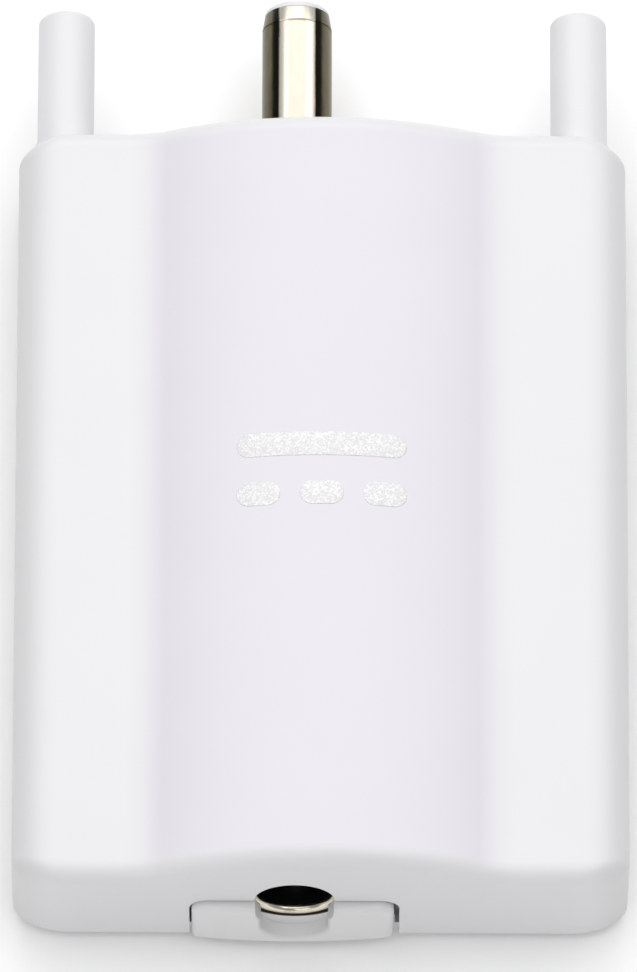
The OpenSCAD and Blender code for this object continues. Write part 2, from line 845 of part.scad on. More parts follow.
// Can of the input capacitor, with a drawn-in groove near its foot
module input_capacitor() {
    color("silver")
        translate([can_x, can_y, board_z + can_base_t])
            rotate_extrude()
                polygon([
                    [0, 0], [can_d / 2, 0], [can_d / 2, can_base_t], [can_d / 2 - strip_t, can_base_t * 3 / 2],
                    [can_d / 2, can_base_t * 2], [can_d / 2, can_h - strip_t], [can_d / 2 - strip_t, can_h], [0, can_h]]);
}

// Moulded base under the input capacitor
module capacitor_base() {
    color("black")
        block_on(can_x, can_y, board_z, [can_d + strip_t, can_d + strip_t, can_base_t]);
}

// Diode that clips surges at the jack
module surge_diode() {
    color("black")
        chip_part(left_lane_x - diode[0] / 2, jack_back - diode[1], board_z, diode);
}

// Resettable fuse beside the plug
module input_fuse() {
    color("olive")
        chip_part(left_lane_x - fuse[0] / 2, plug_block_y - plug_block_len / 2, board_z, fuse);
}

// Row of capacitors between the shunt and the radio
module ceramic_capacitors() {
    color("tan")
        for (i = [0 : 3])
            chip_part(connector_x + (i - 1.5) * (ceramic[0] + part_gap),
                mid_back + shunt[0] + part_gap + ceramic[1] / 2, board_z, ceramic);
}

// Row of resistors behind the capacitors
module chip_resistors() {
    color("black")
        for (i = [0 : 3])
            chip_part(connector_x + (i - 1.5) * (resistor[0] + part_gap),
                mid_back + shunt[0] + 2 * part_gap + ceramic[1] + resistor[1] / 2, board_z, resistor);
}

front_shell();
rear_cover();
cover_screws();
guide_pin_left();
guide_pin_right();
circuit_board();
board_screws();
plug_body();
plug_sleeve();
plug_insulator();
plug_inner_contact();
plug_sleeve_tail();
plug_contact_tail();
jack_body();
jack_rim();
jack_centre_pin();
jack_sleeve_spring();
jack_spring_tail();
jack_switch_contact();
jack_pin_tail();
shunt_resistor();
meter_chip();
regulator_chip();
power_inductor();
radio_board();
radio_shield();
chip_antenna();
clock_crystal();
input_capacitor();
capacitor_base();
surge_diode();
input_fuse();
ceramic_capacitors();
chip_resistors();
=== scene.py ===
from math import asin, copysign, cos, pi, radians, sin, sqrt, tan

import bmesh
import bpy
from mathutils import Euler, Matrix, Vector


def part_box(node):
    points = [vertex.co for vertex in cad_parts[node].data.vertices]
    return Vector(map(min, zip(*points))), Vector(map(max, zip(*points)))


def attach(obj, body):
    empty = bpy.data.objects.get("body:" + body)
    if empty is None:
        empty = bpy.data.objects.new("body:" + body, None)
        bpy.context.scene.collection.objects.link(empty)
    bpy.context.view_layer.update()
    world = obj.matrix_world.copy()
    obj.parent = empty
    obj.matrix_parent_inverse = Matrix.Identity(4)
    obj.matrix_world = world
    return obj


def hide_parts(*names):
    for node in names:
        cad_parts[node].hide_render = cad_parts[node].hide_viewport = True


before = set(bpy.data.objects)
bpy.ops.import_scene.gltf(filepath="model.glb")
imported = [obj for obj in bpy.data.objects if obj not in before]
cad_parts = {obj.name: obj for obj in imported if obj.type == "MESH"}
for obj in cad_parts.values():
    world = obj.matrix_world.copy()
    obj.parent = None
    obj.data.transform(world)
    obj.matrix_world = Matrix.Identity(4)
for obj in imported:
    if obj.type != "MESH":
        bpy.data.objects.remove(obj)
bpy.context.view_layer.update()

MM = 0.001
BODY = "module"

# Forms of the case that the solids' boxes don't give
WALL = 1.8 * MM
CROWN_RISE = 3.7 * MM
CROWN_HALF = 13.5 * MM
CROWN_BLEND = radians(3.2)
KINK_SOFT = 0.7 * MM
CORNER_R = 3.2 * MM
CORNER_REACH = (4.4 * MM, 2.45 * MM)
SIDE_REACH = (3.4 * MM, 2.7 * MM)
END_R = 1.5 * MM
END_DRAFT = radians(1.5)
INNER_R = 0.6 * MM
EDGE_R = 0.16 * MM

# Openings of the shell
MOUTH_R = 3.05 * MM
MOUTH_LIP = 0.45 * MM
SEAT_R = 3.65 * MM
TONGUE_SEAT_R = 3.95 * MM
NOTCH_HALF = 8.1 * MM
NOTCH_R = 1.5 * MM
PLUG_HOLE_R = 3.05 * MM
PIN_HOLE_R = 2.46 * MM

# Cover and its tongue
LIP_OUT = 1.95 * MM
LIP_T = 1.2 * MM
LIP_TOP = 3.0 * MM
FLOOR_T = 1.6 * MM
TONGUE_GAP = 0.3 * MM
TONGUE_SHIFT = -0.13 * MM
TONGUE_BOW = 0.4 * MM
TONGUE_EDGE_R = 0.55 * MM
GROOVE_R = 2.6 * MM
GROOVE_FLOOR = 2.0 * MM
GROOVE_EDGE_R = 0.45 * MM

# Screws and bosses
HEAD_R = 1.9 * MM
HEAD_H = 1.2 * MM
HEAD_GAP = 0.2 * MM
SHANK_R = 1.0 * MM
SHANK_GAP = 0.05 * MM
BOSS_R = 2.5 * MM
PILOT_SPARE = 0.3 * MM
POST_R = 2.0 * MM
REST_W = 1.2 * MM
CROSS_LEN = 2.2 * MM
CROSS_W = 0.55 * MM
CROSS_DEPTH = 0.75 * MM

# Turned parts
PIN_R = 2.225 * MM
PIN_NECK_R = 2.425 * MM
PIN_FLANGE_T = 1.5 * MM
PIN_TIP_R = 0.62 * MM
ROOT_R = 2.5 * MM
NOSE_LEN = 1.3 * MM
NOSE_LINE = 0.09 * MM
NOSE_R = 2.55 * MM
SLEEVE_BORE_R = 2.05 * MM
TURNED_EDGE_R = 0.06 * MM
SET_GAP = 0.02 * MM
RING_EDGE_R = 0.4 * MM
CONTACT_R = 1.5 * MM
CONTACT_BORE_R = 1.05 * MM
CONTACT_BORE_LEN = 10 * MM
JACK_BORE_R = 2.85 * MM
RIM_EDGE_R = 0.12 * MM
RIM_BORE_R = 0.38 * MM
HEAD_EDGE_R = 0.5 * MM
CROSS_TAPER = 0.6

# Printed mark on the crown: a bar over three dashes
MARK_Y = -4.3 * MM
MARK_W = 13.2 * MM
MARK_STROKE = 2.0 * MM
MARK_GAP = 2.1 * MM
MARK_T = 0.05 * MM
DASH_GAP = 1.5 * MM

# Steps that round forms are made in
CROWN_STEPS = 40
BEND_STEPS = 10
LATHE_STEPS = 96
FINE_STEPS = 6
EDGE_STEPS = 3
BOW_STEPS = 16
MARK_STEP = 0.4 * MM
NEAR_FULL = 0.98
WELD = 1e-7
CUT_CLEAR = 0.01 * MM
FLARE = 2 * MM

# Scale and depth of the finishes' grain, and where they change
CLOUD = 9 * MM
MOULD_GRAIN = 0.22 * MM
MOULD_DEPTH = 0.004 * MM
MOULD_SPREAD = 0.1
STREAK = 0.12 * MM
STREAK_STRETCH = (1, 0.08, 1)
STREAK_DEPTH = 0.0012 * MM
STREAK_SPREAD = 0.1
TARNISH = 1.1 * MM
TARNISH_SHARE = (0.42, 0.72)
BARREL_CLOUD = 0.5 * MM
BARREL_STRETCH = (1, 0.3, 1)
BARREL_WAVER = 0.12 * MM
# Where the plug's painted reflection bands change, by distance across from its axis
BARREL_MIDDLE = (0.6 * MM, 1.0 * MM)
BARREL_LINE = (1.38 * MM, 1.56 * MM)
BARREL_FLANK = (1.85 * MM, 2.15 * MM)
# Softness of the edge of the painted shade ring around the jack's rim
GAP_SOFT = 0.05 * MM
BLACK_GRAIN = 0.3 * MM
BLACK_DEPTH = 0.03 * MM
GRAIN_SPREAD = 0.15
MASK_WEAVE = 0.5 * MM
MASK_ROUGHNESS = 0.25
TRACE_PITCH = 14 * MM
TRACE_DEPTH = 0.02 * MM
SPECKLE_SHARE = (0.3, 0.7)
SPECKLE_SPREAD = 0.2
SPECKLE_DEPTH = 0.01 * MM
FLAKE = 0.1 * MM
FLAKE_SHARE = (0.2, 1.0)
FLAKE_METAL = 0.2
FLAKE_ROUGHNESS = 0.5
FLAKE_SPREAD = 0.2
FLAKE_DEPTH = 0.02 * MM
PAPER_FIBRE = 4 * MM
PAPER_DARK = (0.96, 0.96, 0.96, 1)
PAPER_LIGHT = (0.97, 0.97, 0.97, 1)

# Studio: side, power and place of each light, and the camera that matches the photograph
OVERHEAD = (1.2, 6.2, (0.03, 0.15, 0.62))
FILL = (0.6, 1.25, (-0.3, -0.85, 0.45))
BACK = (0.75, 1.3, (0, 0.8, 0.6))
AMBIENT = 0.34
FLOOR_HALF = 3
SENSOR = 36
FOCAL_PIXELS = 14029.9
FRAME_PIXELS = 972
CAMERA_PLACE = (-3.356 * MM, -430.643 * MM, 1013.485 * MM)
CAMERA_TURN = (radians(23.06), radians(-0.2336), radians(0.1299))
CAMERA_CLIP = (0.1, 10)
SHARP = radians(35)
MARK_SHARP = radians(50)

shell_low, shell_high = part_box("front_shell")
cover_low, cover_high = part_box("rear_cover")
sleeve_low, sleeve_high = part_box("plug_sleeve")

JACK_END = shell_low.y
PLUG_END = shell_high.y
CASE_HALF = shell_high.x
SEAM_Z = shell_low.z
CROWN_TOP = shell_high.z
FLAT_TOP = CROWN_TOP - CROWN_RISE
CROWN_R = (CROWN_HALF ** 2 + CROWN_RISE ** 2) / (2 * CROWN_RISE)
CROWN_AXIS_Z = CROWN_TOP - CROWN_R
AXIS_X = (sleeve_low.x + sleeve_high.x) / 2
AXIS_Z = (sleeve_low.z + sleeve_high.z) / 2


class Value:
    """A shader value in a Python expression. Each operator adds its Math node."""

    def __init__(self, finish, socket):
        self.finish = finish
        self.socket = socket

    def math(self, operation, first, second):
        return self.finish.node("ShaderNodeMath", {"operation": operation}, {0: first, 1: second})

    def __add__(self, other):
        return self.math("ADD", self, other)

    def __sub__(self, other):
        return self.math("SUBTRACT", self, other)

    def __rsub__(self, other):
        return self.math("SUBTRACT", other, self)

    def __mul__(self, other):
        return self.math("MULTIPLY", self, other)

    def __abs__(self):
        return self.math("ABSOLUTE", self, 0)


class Finish:
    """A material whose nodes are written as expressions on the piece's own coordinates."""

    def __init__(self, name, constants):
        self.material = bpy.data.materials.new(name)
        self.material.use_nodes = True
        self.tree = self.material.node_tree
        self.surface = self.tree.nodes["Principled BSDF"]
        self.place = self.node("ShaderNodeTexCoord", {}, {}, "Object")
        for socket, value in constants.items():
            self.surface.inputs[socket].default_value = value

    def node(self, kind, settings, inputs, output=0):
        made = self.tree.nodes.new(kind)
        for name, value in settings.items():
            setattr(made, name, value)
        for name, value in inputs.items():
            self.join(value, made.inputs[name])
        return Value(self, made.outputs[output])

    def join(self, value, socket):
        if isinstance(value, Value):
            self.tree.links.new(value.socket, socket)
        else:
            socket.default_value = value

    def feed(self, socket, value):
        self.join(value, self.surface.inputs[socket])

    def noise(self, size, detail=2.0, stretch=(1, 1, 1)):
        vector = self.node("ShaderNodeMapping", {}, {"Vector": self.place, "Scale": stretch})
        return self.node("ShaderNodeTexNoise", {}, {"Vector": vector, "Scale": 1 / size, "Detail": detail})

    def cells(self, size, output):
        return self.node("ShaderNodeTexVoronoi", {}, {"Vector": self.place, "Scale": 1 / size}, output)

    def span(self, value, low, high, start=0.0, end=1.0):
        """A smooth step of a value between two limits."""
        ends = {"Value": value, "From Min": low, "From Max": high, "To Min": start, "To Max": end}
        return self.node("ShaderNodeMapRange", {"interpolation_type": "SMOOTHSTEP"}, ends)

    def mix(self, share, first, second):
        colours = {"Factor": share, 6: first, 7: second}
        return self.node("ShaderNodeMix", {"data_type": "RGBA"}, colours, 2)

    def along(self, axis):
        return self.node("ShaderNodeSeparateXYZ", {}, {0: self.place}, axis)

    def bump(self, height, depth):
        self.feed("Normal", self.node("ShaderNodeBump", {}, {"Height": height, "Distance": depth}))


def tint(red, green, blue):
    """A colour of the shader from screen values of 0 to 255."""
    return tuple(((c / 255 + 0.055) / 1.055) ** 2.4 for c in (red, green, blue)) + (1,)


def moulded(name, roughness):
    """Satin moulded plastic with a fine spark-eroded grain."""
    finish = Finish(name, {"IOR": 1.5})
    grain = finish.noise(MOULD_GRAIN, detail=3)
    finish.feed("Roughness", grain * MOULD_SPREAD + roughness)
    finish.bump(grain, MOULD_DEPTH)
    return finish


def moulded_white(name, light, dark, roughness):
    """White moulded plastic with a faint cloudiness."""
    finish = moulded(name, roughness)
    finish.feed("Base Color", finish.mix(finish.noise(CLOUD), dark, light))
    return finish


def shell_white():
    """The shell's plastic, whose crown is a shade cooler than its side strips, and whose colour is painted
    darker towards each side as painted shade.
    """
    finish = moulded("shell_white", roughness=0.34)
    cloud = finish.noise(CLOUD)
    strip = finish.mix(cloud, tint(220, 220, 222), tint(223, 223, 225))
    crown = finish.mix(cloud, tint(218, 216, 222), tint(221, 218, 225))
    across = abs(finish.along("X"))
    to_end = abs(finish.along("Y") - (JACK_END + PLUG_END) / 2) - (PLUG_END - JACK_END) / 2
    inward = finish.span(to_end, -END_R - KINK_SOFT, -END_R + KINK_SOFT, 1.0, 0.0)
    raised_strip = finish.span(across, CROWN_HALF - KINK_SOFT, CROWN_HALF + KINK_SOFT, 1.0, 0.0)
    top = finish.mix(raised_strip * inward, strip, crown)
    # Painted shade: the colour darkens over the last stretch towards each side, where the rounded sides
    # turn away from the light.
    edge = finish.span(across, CASE_HALF - SIDE_REACH[0], CASE_HALF)
    finish.feed("Base Color", finish.mix(edge, top, tint(210, 210, 211)))
    return finish


def cover_white():
    """The cover's plastic, with a painted shade ring in the narrow gap around the jack's rim."""
    finish = moulded("cover_white", roughness=0.36)
    white = finish.mix(finish.noise(CLOUD), tint(220, 220, 221), tint(223, 223, 224))
    across = finish.along("X") - AXIS_X
    up = finish.along("Z") - AXIS_Z
    reach = finish.node("ShaderNodeMath", {"operation": "SQRT"}, {0: across * across + up * up})
    gap_shade_ring = finish.span(reach, TONGUE_SEAT_R, TONGUE_SEAT_R + 2 * GAP_SOFT, 1.0, 0.0)
    face = JACK_END + MOUTH_LIP
    gap_shade_depth = finish.span(finish.along("Y"), face - GAP_SOFT, face + GAP_SOFT)
    # Painted shade: a dark brown ring is painted just behind the jack's face, where the gap around the rim
    # falls in shadow.
    finish.feed("Base Color", finish.mix(gap_shade_ring * gap_shade_depth, white, tint(58, 48, 40)))
    return finish


def metal(name, roughness):
    """Metal with fine streaks along its length."""
    finish = Finish(name, {"Metallic": 1.0})
    streak = finish.noise(STREAK, stretch=STREAK_STRETCH)
    finish.feed("Roughness", streak * STREAK_SPREAD + roughness)
    finish.bump(streak, STREAK_DEPTH)
    return finish


def plated(name, light, dark, roughness):
    """Plated metal with a faint uneven tarnish."""
    finish = metal(name, roughness)
    tarnish = finish.noise(TARNISH, detail=4)
    finish.feed("Base Color", finish.mix(finish.span(tarnish, *TARNISH_SHARE), light, dark))
    return finish


def barrel_nickel():
    """The plug's nickel with painted reflections: bright along its top, with a dark painted line down each
    side and a duller painted reflection on each flank.
    """
    finish = metal("nickel_barrel", roughness=0.24)
    cloud = finish.noise(BARREL_CLOUD, detail=3, stretch=BARREL_STRETCH)
    across = abs(finish.along("X") - AXIS_X) + cloud * BARREL_WAVER
    # Painted reflection: bright and dark bands are painted along the barrel by the distance across from its
    # axis.
    middle_reflection = finish.mix(cloud, tint(198, 191, 178), tint(212, 204, 190))
    bright = finish.mix(finish.span(across, *BARREL_MIDDLE), middle_reflection, tint(246, 239, 224))
    line = finish.mix(cloud, tint(30, 28, 22), tint(46, 43, 34))
    flank_reflection = finish.mix(cloud, tint(84, 79, 61), tint(112, 105, 83))
    flank = finish.mix(finish.span(across, *BARREL_FLANK), line, flank_reflection)
    finish.feed("Base Color", finish.mix(finish.span(across, *BARREL_LINE), bright, flank))
    return finish


def dark_plastic(name, light, dark, roughness):
    """Glass-filled black moulding with a fine grain."""
    finish = Finish(name, {"IOR": 1.52})
    grain = finish.noise(BLACK_GRAIN, detail=4)
    finish.feed("Base Color", finish.mix(grain, dark, light))
    finish.feed("Roughness", grain * GRAIN_SPREAD + roughness)
    finish.bump(grain, BLACK_DEPTH)
    return finish


def solder_mask():
    """Green board with fine copper lines showing through the mask."""
    finish = Finish("board_green", {"IOR": 1.55})
    lines = finish.node("ShaderNodeTexBrick", {"offset": 0.5}, {
        "Vector": finish.place, "Scale": 1 / TRACE_PITCH, "Mortar Size": 0.02, "Mortar Smooth": 0.3,
        "Brick Width": 0.5, "Row Height": 0.14}, "Fac")
    weave = finish.noise(MASK_WEAVE, detail=3)
    mask = finish.mix(weave, tint(18, 74, 44), tint(24, 92, 54))
    finish.feed("Base Color", finish.mix(lines, mask, tint(52, 128, 70)))
    finish.feed("Roughness", weave * GRAIN_SPREAD + MASK_ROUGHNESS)
    finish.bump(lines, TRACE_DEPTH)
    return finish


def speckled(name, light, dark, size, roughness):
    """Pressed, fired or sintered stuff with a speckle of its own size."""
    finish = Finish(name, {"IOR": 1.5})
    grain = finish.noise(size, detail=5)
    finish.feed("Base Color", finish.mix(finish.span(grain, *SPECKLE_SHARE), dark, light))
    finish.feed("Roughness", grain * SPECKLE_SPREAD + roughness)
    finish.bump(grain, SPECKLE_DEPTH)
    return finish


def glitter():
    """Silver flake ink: each flake has its own brightness and its own tilt."""
    finish = Finish("glitter_silver", {"IOR": 1.5})
    flake = finish.cells(FLAKE, "Color")
    bright = finish.node("ShaderNodeSeparateColor", {}, {0: flake}, "Red")
    spark = finish.span(bright, *FLAKE_SHARE)
    finish.feed("Base Color", finish.mix(spark, tint(218, 218, 218), tint(238, 238, 239)))
    finish.feed("Metallic", spark * FLAKE_METAL)
    finish.feed("Roughness", FLAKE_ROUGHNESS - spark * FLAKE_SPREAD)
    finish.bump(bright, FLAKE_DEPTH)
    return finish


def weld(bm):
    bmesh.ops.remove_doubles(bm, verts=bm.verts, dist=WELD)
    bmesh.ops.recalc_face_normals(bm, faces=bm.faces)


def round_corner(bm, corners, radius, steps=FINE_STEPS):
    """Rounds corners of a wire or of a flat face."""
    bmesh.ops.bevel(bm, geom=corners, offset=radius, offset_type="OFFSET", segments=steps,
                    profile=0.5, affect="VERTICES", material=-1)


def as_object(name, bm):
    mesh = bpy.data.meshes.new(name)
    bm.to_mesh(mesh)
    bm.free()
    made = bpy.data.objects.new(name, mesh)
    bpy.context.scene.collection.objects.link(made)
    return made


def carve(piece, bm, operation="DIFFERENCE"):
    """Cuts a form out of a piece, or joins it on."""
    tool = as_object("tool", bm)
    change = piece.modifiers.new("carve", "BOOLEAN")
    change.operation = operation
    change.solver = "MANIFOLD"
    change.object = tool
    depsgraph = bpy.context.evaluated_depsgraph_get()
    carved = bpy.data.meshes.new_from_object(piece.evaluated_get(depsgraph))
    piece.modifiers.clear()
    piece.data = carved
    bpy.data.objects.remove(tool)


def soften(piece):
    """Breaks the sharp edges of a piece and keeps its flats flat."""
    edges = piece.modifiers.new("edges", "BEVEL")
    edges.width = EDGE_R
    edges.segments = EDGE_STEPS
    edges.limit_method = "ANGLE"
    edges.angle_limit = SHARP
    edges.use_clamp_overlap = True
    normals = piece.modifiers.new("normals", "WEIGHTED_NORMAL")
    normals.keep_sharp = True


def finished(piece, finish, slot, *nodes):
    """Gives a piece its finish and its place in the frame."""
    piece.data.materials.clear()
    piece.data.materials.append(finish.material)
    piece.data.shade_smooth()
    piece.data.set_sharp_from_angle(angle=SHARP)
    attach(piece, BODY)
    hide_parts(*nodes)
    return piece


def lathe(outline, closed=False):
    """A turned form about the Y axis, from points of (station, radius, edge rounding)."""
    bm = bmesh.new()
    points = [bm.verts.new((radius, y, 0)) for y, radius, edge in outline]
    pairs = list(zip(points, points[1:]))
    if closed:
        pairs.append((points[-1], points[0]))
    for pair in pairs:
        bm.edges.new(pair)
    for point, (y, radius, edge) in zip(points, outline):
        if edge:
            round_corner(bm, [point], edge)
    bmesh.ops.spin(bm, geom=bm.verts[:] + bm.edges[:], cent=(0, 0, 0), axis=(0, 1, 0),
                   angle=2 * pi, steps=LATHE_STEPS, use_merge=True)
    weld(bm)
    return bm


def shifted(bm, x, y, z):
    bmesh.ops.translate(bm, verts=bm.verts, vec=(x, y, z))
    return bm


def upright(bm):
    """Turns a form from the Y axis up to the Z axis."""
    bmesh.ops.rotate(bm, verts=bm.verts, cent=(0, 0, 0), matrix=Matrix.Rotation(pi / 2, 3, "X"))
    return bm


def rod(radius, start, end):
    """A plain rod along Y."""
    return lathe([(start, 0, 0), (start, radius, 0), (end, radius, 0), (end, 0, 0)])


def flared_rod(radius, edge, start, end):
    """A rod along Y that rounds the edge of the hole that it cuts at its start."""
    face = start - CUT_CLEAR
    ahead = face - FLARE
    wide = radius + FLARE
    return lathe([(ahead, 0, 0), (ahead, wide, 0), (face, wide, 0), (face, radius, edge),
                  (end, radius, 0), (end, 0, 0)])


def bend_angles():
    """Angles that a quarter bend is stepped in."""
    return [pi / 2 * i / BEND_STEPS for i in range(BEND_STEPS + 1)]


def case_section(bm, inset):
    """Open wire across the case: up one side, over the crown and down the other side."""
    reach_x, reach_z = (INNER_R, INNER_R) if inset else SIDE_REACH
    half = CASE_HALF - inset
    flat = FLAT_TOP - inset
    crown_r = CROWN_R - inset
    turn = asin(sqrt(crown_r ** 2 - (flat - CROWN_AXIS_Z) ** 2) / crown_r) - CROWN_BLEND
    end_x = crown_r * sin(turn)
    end_z = CROWN_AXIS_Z + crown_r * cos(turn)
    run = (end_z - flat) / sin(turn)
    first = bm.verts.new((-end_x, 0, end_z))
    bmesh.ops.spin(bm, geom=[first], cent=(0, 0, CROWN_AXIS_Z), axis=(0, 1, 0),
                   angle=2 * turn, steps=CROWN_STEPS)
    last = max(bm.verts, key=lambda v: v.co.x)
    kinks = []
    for side, end in ((-1, first), (1, last)):
        kink = bm.verts.new((side * (end_x + run * cos(turn)), 0, flat))
        line = [end, kink]
        for bend in bend_angles():
            line.append(bm.verts.new((side * (half - reach_x * (1 - sin(bend))), 0,
                                      flat - reach_z * (1 - cos(bend)))))
        line.append(bm.verts.new((side * half, 0, SEAM_Z)))
        for pair in zip(line, line[1:]):
            bm.edges.new(pair)
        kinks.append(kink)
    round_corner(bm, kinks, run * NEAR_FULL, BEND_STEPS)


def end_face(side, z, inset=0):
    """Station of an end wall at a height, which leans in as it rises."""
    lean = (z - SEAM_Z) * tan(END_DRAFT) + inset
    return PLUG_END - lean if side > 0 else JACK_END + lean


def case_skin(inset, corner, end_r):
    """One skin of the shell, open below: its section carried along the case and drawn in at both ends."""
    bm = bmesh.new()
    case_section(bm, inset)
    point = bm.verts.layers.float_vector.new("point")
    for vert in bm.verts:
        vert[point] = vert.co
    turns = bend_angles()
    stations = [(-1, turn) for turn in turns] + [(1, turn) for turn in reversed(turns)]
    core_x = CASE_HALF - inset - corner[0]
    ring = bm.edges[:]
    walls = []
    for side, turn in stations:
        if walls:
            grown = bmesh.ops.extrude_edge_only(bm, edges=ring)["geom"]
            fresh = {v for v in grown if isinstance(v, bmesh.types.BMVert)}
            ring = [e for e in grown if isinstance(e, bmesh.types.BMEdge) and fresh.issuperset(e.verts)]
        else:
            fresh = set(bm.verts)
        for vert in fresh:
            x, y, z = vert[point]
            beyond = max(abs(x) - core_x, 0)
            height = min((z - SEAM_Z) / (FLAT_TOP - inset - SEAM_Z), 1)
            drawn_in = 1 - sin(turn)
            x -= copysign(beyond, x) * drawn_in
            z -= end_r * height * drawn_in
            bend = end_r + (corner[1] - end_r) * (beyond / corner[0]) ** 2
            end = end_face(side, z, inset)
            vert.co = (x, end - side * bend * (1 - cos(turn)), z)
        walls.append(ring)
    for wall in (walls[0], walls[-1]):
        feet = sorted({v for e in wall for v in e.verts}, key=lambda v: v.co.z)[:2]
        bmesh.ops.edgeloop_fill(bm, edges=wall + [bm.edges.new(feet)])
    bm.verts.layers.float_vector.remove(bm.verts.layers.float_vector["point"])
    bmesh.ops.recalc_face_normals(bm, faces=bm.faces)
    if inset:
        bmesh.ops.reverse_faces(bm, faces=bm.faces)
    skin = bpy.data.meshes.new("skin")
    bm.to_mesh(skin)
    bm.free()
    return skin


def notch_form(half, top, radius, start, end, low):
    """Form of the notch under the jack, with round upper corners."""
    bm = bmesh.new()
    corners = [bm.verts.new((AXIS_X + x, start, z)) for x, z in
               ((-half, low), (half, low), (half, top), (-half, top))]
    bm.faces.new(corners)
    round_corner(bm, corners[2:], radius, BEND_STEPS)
    grown = bmesh.ops.extrude_face_region(bm, geom=bm.faces[:])["geom"]
    bmesh.ops.translate(bm, verts=[v for v in grown if isinstance(v, bmesh.types.BMVert)],
                        vec=(0, end - start, 0))
    weld(bm)
    return bm


def front_shell(finish):
    bm = bmesh.new()
    inner_corner = [reach - WALL for reach in CORNER_REACH]
    for skin in (case_skin(0, CORNER_REACH, END_R), case_skin(WALL, inner_corner, INNER_R)):
        bm.from_mesh(skin)
        bpy.data.meshes.remove(skin)
    bmesh.ops.bridge_loops(bm, edges=[e for e in bm.edges if e.is_boundary])
    weld(bm)
    shell = as_object("shell", bm)
    deep = 2 * WALL
    mouth = end_face(-1, AXIS_Z)
    carve(shell, shifted(flared_rod(MOUTH_R, EDGE_R, mouth, mouth + WALL / 2), AXIS_X, 0, AXIS_Z))
    carve(shell, shifted(rod(SEAT_R, JACK_END + MOUTH_LIP, JACK_END + deep), AXIS_X, 0, AXIS_Z))
    carve(shell, notch_form(NOTCH_HALF, AXIS_Z, NOTCH_R, JACK_END - WALL, JACK_END + deep, 0))
    carve(shell, shifted(rod(PLUG_HOLE_R, PLUG_END - deep, PLUG_END + WALL), AXIS_X, 0, AXIS_Z))
    for node in ("guide_pin_left", "guide_pin_right"):
        low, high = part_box(node)
        middle = (low.x + high.x) / 2
        carve(shell, shifted(rod(PIN_HOLE_R, PLUG_END - deep, PLUG_END + WALL), middle, 0, AXIS_Z))
        carve(shell, shifted(rod(high.x - middle, low.y - FLARE, PLUG_END - WALL), middle, 0, AXIS_Z))
    screw_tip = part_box("cover_screws")[1].z
    for x, y in screw_places():
        carve(shell, shifted(upright(rod(BOSS_R, LIP_TOP, FLAT_TOP - WALL / 2)), x, y, 0), "UNION")
        carve(shell, shifted(upright(rod(SHANK_R + SHANK_GAP, 0, screw_tip + PILOT_SPARE)), x, y, 0))
    soften(shell)
    return finished(shell, finish, "shell_white", "front_shell")


def guide_pin(node, finish):
    low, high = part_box(node)
    flange_r = (high.x - low.x) / 2
    neck = low.y + PIN_FLANGE_T
    bm = lathe([
        (low.y, 0, 0), (low.y, flange_r, TURNED_EDGE_R), (neck, flange_r, TURNED_EDGE_R),
        (neck, PIN_NECK_R, 0), (PLUG_END, PIN_NECK_R, TURNED_EDGE_R), (PLUG_END, PIN_R, 0),
        (high.y, PIN_R, PIN_TIP_R), (high.y, 0, 0)])
    pin = as_object(node + "_moulding", shifted(bm, (low.x + high.x) / 2, 0, AXIS_Z))
    return finished(pin, finish, "pin_white", node)


def plug_sleeve(finish):
    low, high = sleeve_low, sleeve_high
    radius = (high.x - low.x) / 2
    nose = high.y - NOSE_LEN
    bm = lathe([
        (low.y, SLEEVE_BORE_R, 0), (low.y, ROOT_R, TURNED_EDGE_R), (PLUG_END, ROOT_R, 0),
        (PLUG_END, radius, TURNED_EDGE_R), (nose - NOSE_LINE, radius, 0), (nose, radius - NOSE_LINE, 0),
        (nose + NOSE_LINE, radius, 0), (high.y, NOSE_R, TURNED_EDGE_R), (high.y, SLEEVE_BORE_R, 0)],
        closed=True)
    sleeve = as_object("plug_sleeve_tube", shifted(bm, AXIS_X, 0, AXIS_Z))
    return finished(sleeve, finish, "nickel", "plug_sleeve")


def plug_insulator(finish):
    low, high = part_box("plug_insulator")
    tube_r = SLEEVE_BORE_R - SET_GAP
    bm = lathe([
        (low.y, CONTACT_R + SET_GAP, 0), (low.y, tube_r, 0), (sleeve_high.y, tube_r, 0),
        (sleeve_high.y, NOSE_R, 0), (high.y, NOSE_R, RING_EDGE_R),
        (high.y, CONTACT_R + SET_GAP, TURNED_EDGE_R)], closed=True)
    ring = as_object("plug_insulator_tube", shifted(bm, AXIS_X, 0, AXIS_Z))
    return finished(ring, finish, "ring_white", "plug_insulator")


def plug_inner_contact(finish):
    low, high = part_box("plug_inner_contact")
    bore_end = high.y - CONTACT_BORE_LEN
    bm = lathe([
        (low.y, 0, 0), (low.y, CONTACT_R, TURNED_EDGE_R), (high.y, CONTACT_R, TURNED_EDGE_R),
        (high.y, CONTACT_BORE_R, 2 * TURNED_EDGE_R), (bore_end, CONTACT_BORE_R, 0),
        (bore_end - CONTACT_BORE_R / 2, 0, 0)])
    contact = as_object("plug_contact_tube", shifted(bm, AXIS_X, 0, AXIS_Z))
    return finished(contact, finish, "contact_brass", "plug_inner_contact")


def jack_rim(finish):
    low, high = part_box("jack_rim")
    outer_r = (high.x - low.x) / 2
    bm = lathe([
        (low.y, JACK_BORE_R, RIM_BORE_R), (low.y, outer_r, RIM_EDGE_R),
        (high.y, outer_r, TURNED_EDGE_R), (high.y, JACK_BORE_R, TURNED_EDGE_R)], closed=True)
    rim = as_object("jack_rim_ring", shifted(bm, AXIS_X, 0, AXIS_Z))
    return finished(rim, finish, "nickel", "jack_rim")


def raised(bm, face, rise):
    """Lifts or sinks a face on walls of its own, and returns it."""
    grown = bmesh.ops.extrude_face_region(bm, geom=[face] + face.edges[:])["geom"]
    bmesh.ops.translate(bm, verts=[v for v in grown if isinstance(v, bmesh.types.BMVert)], vec=(0, 0, rise))
    return next(f for f in grown if isinstance(f, bmesh.types.BMFace))


